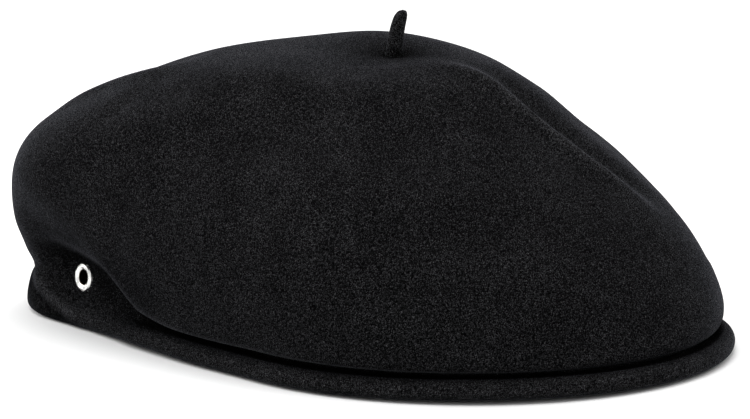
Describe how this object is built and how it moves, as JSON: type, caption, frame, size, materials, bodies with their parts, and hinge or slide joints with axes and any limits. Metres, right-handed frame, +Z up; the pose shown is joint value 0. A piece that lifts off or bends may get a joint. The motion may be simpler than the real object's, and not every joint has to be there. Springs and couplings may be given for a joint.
{
  "type": "moulded felt beret",
  "caption": "Moulded felt beret with a rolled edge, a felt stalk at its crown, vent eyelets in its sides and a ribbed ribbon sweatband.",
  "frame": {"origin": "middle of the rolled edge's length and width, on the plane the edge rests on", "axes": "+Z up out of the crown, -Y towards the front of the beret, +X towards the wearer's left"},
  "size_m": [0.1686, 0.2411, 0.1043],
  "materials": {
    "felt": "fulled wool felt, near black, matt with a cool grey bloom",
    "ribbon": "black grosgrain, ribbed across",
    "thread": "black polyester thread",
    "label": "woven off-white satin tape, blank",
    "nickel": "nickel-plated brass, satin bright"
  },
  "bodies": {
    "beret": {"crown_shell": "felt", "stalk_anchor": "felt", "anchor_stitches": "thread", "eyelet_left": "nickel", "eyelet_right": "nickel", "eyelet_washer_left": "nickel", "eyelet_washer_right": "nickel", "sweatband": "ribbon", "sweatband_join": "ribbon", "sweatband_stitches": "thread", "size_label": "label", "care_label": "label"},
    "stalk": {"stalk": "felt"}
  },
  "joints": [
    {"name": "stalk_lean", "type": "hinge", "parent": "beret", "child": "stalk", "pos_m": [0, -0.011, 0.09], "axis": [1, 0, 0], "range_deg": [-35, 35], "stiffness_Nm_per_rad": 0.002}
  ]
}
